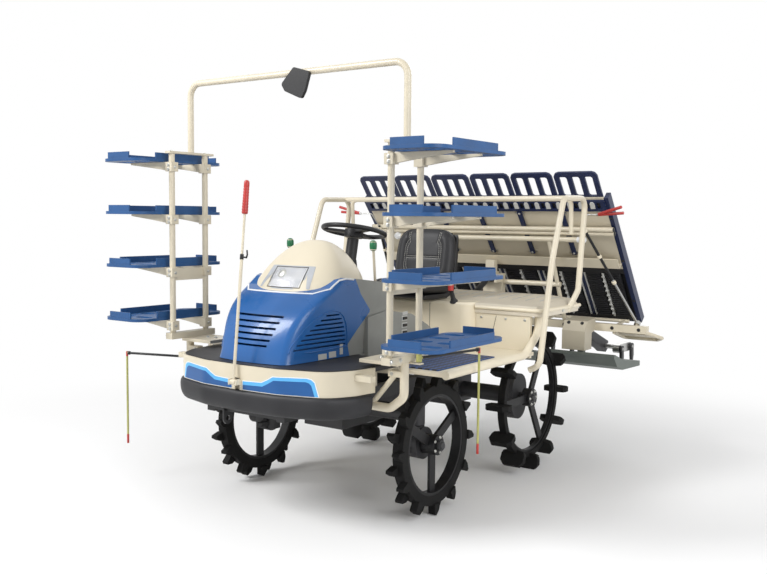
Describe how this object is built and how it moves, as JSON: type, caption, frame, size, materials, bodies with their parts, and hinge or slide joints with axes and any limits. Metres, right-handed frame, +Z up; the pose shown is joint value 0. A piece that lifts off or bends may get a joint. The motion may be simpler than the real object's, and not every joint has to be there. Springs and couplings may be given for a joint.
{
  "type": "rice transplanter",
  "caption": "Riding rice transplanter with steered front wheels, seedling racks, operator seat and a lifting rear planting unit.",
  "frame": {"origin": "on the ground, on the middle plane between the wheels, halfway along the machine", "axes": "+Z up, the front faces -Y, the machine's left is +X"},
  "size_m": [2.2887, 3.2289, 2.268],
  "materials": {
    "black_paint": "satin",
    "cast_black": "rough",
    "cream_paint": "gloss",
    "cream_plastic": "gloss",
    "grey_plastic": "satin",
    "blue_plastic": "gloss",
    "tray_blue": "satin",
    "navy_plastic": "satin",
    "black_rubber": "matte",
    "tyre": "matte",
    "mesh_mat": "matte",
    "vinyl": "satin",
    "lamp_lens": "clear",
    "mirror_black": "satin",
    "steel": "satin",
    "silver_plastic": "satin",
    "float_green": "satin",
    "engine_grey": "rough",
    "yellow_rod": "satin"
  },
  "bodies": {
    "chassis": {"chassis_frame": "black_paint", "cross_members": "black_paint", "bearers": "black_paint", "rear_hitch": "black_paint", "drive_line": "cast_black", "engine": "engine_grey", "front_skirt": "cream_plastic", "console": "grey_plastic", "front_bumper": "black_rubber", "deck_mat": "black_rubber", "hood_lower": "blue_plastic", "hood_upper": "cream_plastic", "headlamps": "lamp_lens", "dash_panel": "grey_plastic", "steering_column": "mirror_black", "floor": "cream_plastic", "floor_mats": "mesh_mat", "seat_housing": "cream_plastic", "rear_platform": "silver_plastic", "seat": "vinyl", "hand_rails": "cream_paint", "racks": "cream_paint", "trays": "tray_blue", "overhead_bar": "cream_paint", "mirror": "mirror_black", "levers": "black_paint"},
    "steering_wheel": {"steering_wheel": "mirror_black"},
    "knuckle_left": {"knuckle_left": "cast_black"},
    "knuckle_right": {"knuckle_right": "cast_black"},
    "front_wheel_left": {"front_wheel_left": "black_paint", "front_tyre_left": "tyre"},
    "front_wheel_right": {"front_wheel_right": "black_paint", "front_tyre_right": "tyre"},
    "rear_wheel_left": {"rear_wheel_left": "black_paint", "rear_tyre_left": "tyre"},
    "rear_wheel_right": {"rear_wheel_right": "black_paint", "rear_tyre_right": "tyre"},
    "lower_links": {"lower_links": "black_paint"},
    "upper_link": {"upper_link": "black_paint"},
    "lift_barrel": {"lift_barrel": "black_paint"},
    "lift_rod": {"lift_rod": "steel"},
    "planter": {"planter_frame": "cream_paint", "drive_cases": "cast_black", "floats": "float_green", "box_covers": "cream_plastic"},
    "tank": {"tank_plates": "cream_plastic", "tank_rails": "silver_plastic", "tank_ribs": "navy_plastic", "tank_belts": "black_rubber", "extension_frames": "navy_plastic"},
    "rotors": {"rotors": "steel"},
    "arms_front": {"arms_front": "cast_black"},
    "arms_rear": {"arms_rear": "cast_black"},
    "line_marker_left": {"line_marker_left": "steel"},
    "line_marker_right": {"line_marker_right": "steel"},
    "side_marker_left": {"side_marker_left": "yellow_rod"},
    "side_marker_right": {"side_marker_right": "yellow_rod"},
    "centre_pole": {"centre_pole": "steel"}
  },
  "joints": [
    {"name": "front_left_steer", "type": "hinge", "parent": "chassis", "child": "knuckle_left", "pos_m": [0.5, -0.765, 0.366], "axis": [0, 0, 1], "range_deg": [-38, 38]},
    {"name": "front_right_steer", "type": "hinge", "parent": "chassis", "child": "knuckle_right", "pos_m": [-0.5, -0.765, 0.366], "axis": [0, 0, 1], "range_deg": [-39, 39]},
    {"name": "steering_turn", "type": "hinge", "parent": "chassis", "child": "steering_wheel", "pos_m": [0, -0.647, 1.455], "axis": [0, 0.2079, 0.9781], "range_deg": [-345, 345]},
    {"name": "front_left_spin", "type": "hinge", "parent": "knuckle_left", "child": "front_wheel_left", "pos_m": [0.6, -0.765, 0.366], "axis": [1, 0, 0], "continuous": true},
    {"name": "front_right_spin", "type": "hinge", "parent": "knuckle_right", "child": "front_wheel_right", "pos_m": [-0.6, -0.765, 0.366], "axis": [1, 0, 0], "continuous": true},
    {"name": "rear_left_spin", "type": "hinge", "parent": "chassis", "child": "rear_wheel_left", "pos_m": [0.6, 0.35, 0.44], "axis": [1, 0, 0], "continuous": true},
    {"name": "rear_right_spin", "type": "hinge", "parent": "chassis", "child": "rear_wheel_right", "pos_m": [-0.6, 0.35, 0.44], "axis": [1, 0, 0], "continuous": true},
    {"name": "planter_lift", "type": "hinge", "parent": "chassis", "child": "lower_links", "pos_m": [0, 0.355, 0.59], "axis": [1, 0, 0], "range_deg": [-49, 0]},
    {"name": "upper_link_turn", "type": "hinge", "parent": "chassis", "child": "upper_link", "pos_m": [0, 0.355, 0.84], "axis": [1, 0, 0], "range_deg": [-50, 1]},
    {"name": "planter_level", "type": "hinge", "parent": "lower_links", "child": "planter", "pos_m": [0, 0.90742, 0.87147], "axis": [1, 0, 0], "range_deg": [-1, 50]},
    {"name": "cylinder_tilt", "type": "hinge", "parent": "chassis", "child": "lift_barrel", "pos_m": [0, 0.035, 0.7], "axis": [1, 0, 0], "range_deg": [-22, 1]},
    {"name": "cylinder_stroke", "type": "slide", "parent": "lift_barrel", "child": "lift_rod", "axis": [0, 0.9874, 0.1585], "range_m": [-0.002, 0.095]},
    {"name": "tank_shift", "type": "slide", "parent": "planter", "child": "tank", "axis": [1, 0, 0], "range_m": [-0.13, 0.13]},
    {"name": "rotor_turn", "type": "hinge", "parent": "planter", "child": "rotors", "pos_m": [0, 1.49, 0.64], "axis": [1, 0, 0], "continuous": true},
    {"name": "arms_front_turn", "type": "hinge", "parent": "rotors", "child": "arms_front", "pos_m": [0, 1.395, 0.64], "axis": [1, 0, 0], "continuous": true},
    {"name": "arms_rear_turn", "type": "hinge", "parent": "rotors", "child": "arms_rear", "pos_m": [0, 1.585, 0.64], "axis": [1, 0, 0], "continuous": true},
    {"name": "line_marker_left_fold", "type": "hinge", "parent": "planter", "child": "line_marker_left", "pos_m": [0.958, 1.20086, 0.84553], "axis": [0, 0.7771, 0.6293], "range_deg": [0, 110]},
    {"name": "line_marker_right_fold", "type": "hinge", "parent": "planter", "child": "line_marker_right", "pos_m": [-0.958, 1.20086, 0.84553], "axis": [0, -0.7771, -0.6293], "range_deg": [0, 110]},
    {"name": "side_marker_left_swing", "type": "hinge", "parent": "chassis", "child": "side_marker_left", "pos_m": [0.779, -1.173, 0.88], "axis": [0, 0, 1], "range_deg": [-97, 0]},
    {"name": "side_marker_right_swing", "type": "hinge", "parent": "chassis", "child": "side_marker_right", "pos_m": [-0.779, -1.173, 0.738], "axis": [0, 0, 1], "range_deg": [-97, 0]},
    {"name": "centre_pole_fold", "type": "hinge", "parent": "chassis", "child": "centre_pole", "pos_m": [0, -1.601, 0.74], "axis": [1, 0, 0], "range_deg": [0, 75]}
  ],
  "couplings": [
    {"joint": "front_right_steer", "follows": "front_left_steer", "ratio": 1},
    {"joint": "steering_turn", "follows": "front_left_steer", "ratio": 9},
    {"joint": "upper_link_turn", "follows": "planter_lift", "ratio": 1},
    {"joint": "planter_level", "follows": "planter_lift", "ratio": -1},
    {"joint": "cylinder_tilt", "follows": "planter_lift", "ratio": 0.41932},
    {"joint": "cylinder_stroke", "follows": "planter_lift", "m_per_rad": -0.10359},
    {"joint": "arms_front_turn", "follows": "rotor_turn", "ratio": -1},
    {"joint": "arms_rear_turn", "follows": "rotor_turn", "ratio": -1}
  ]
}
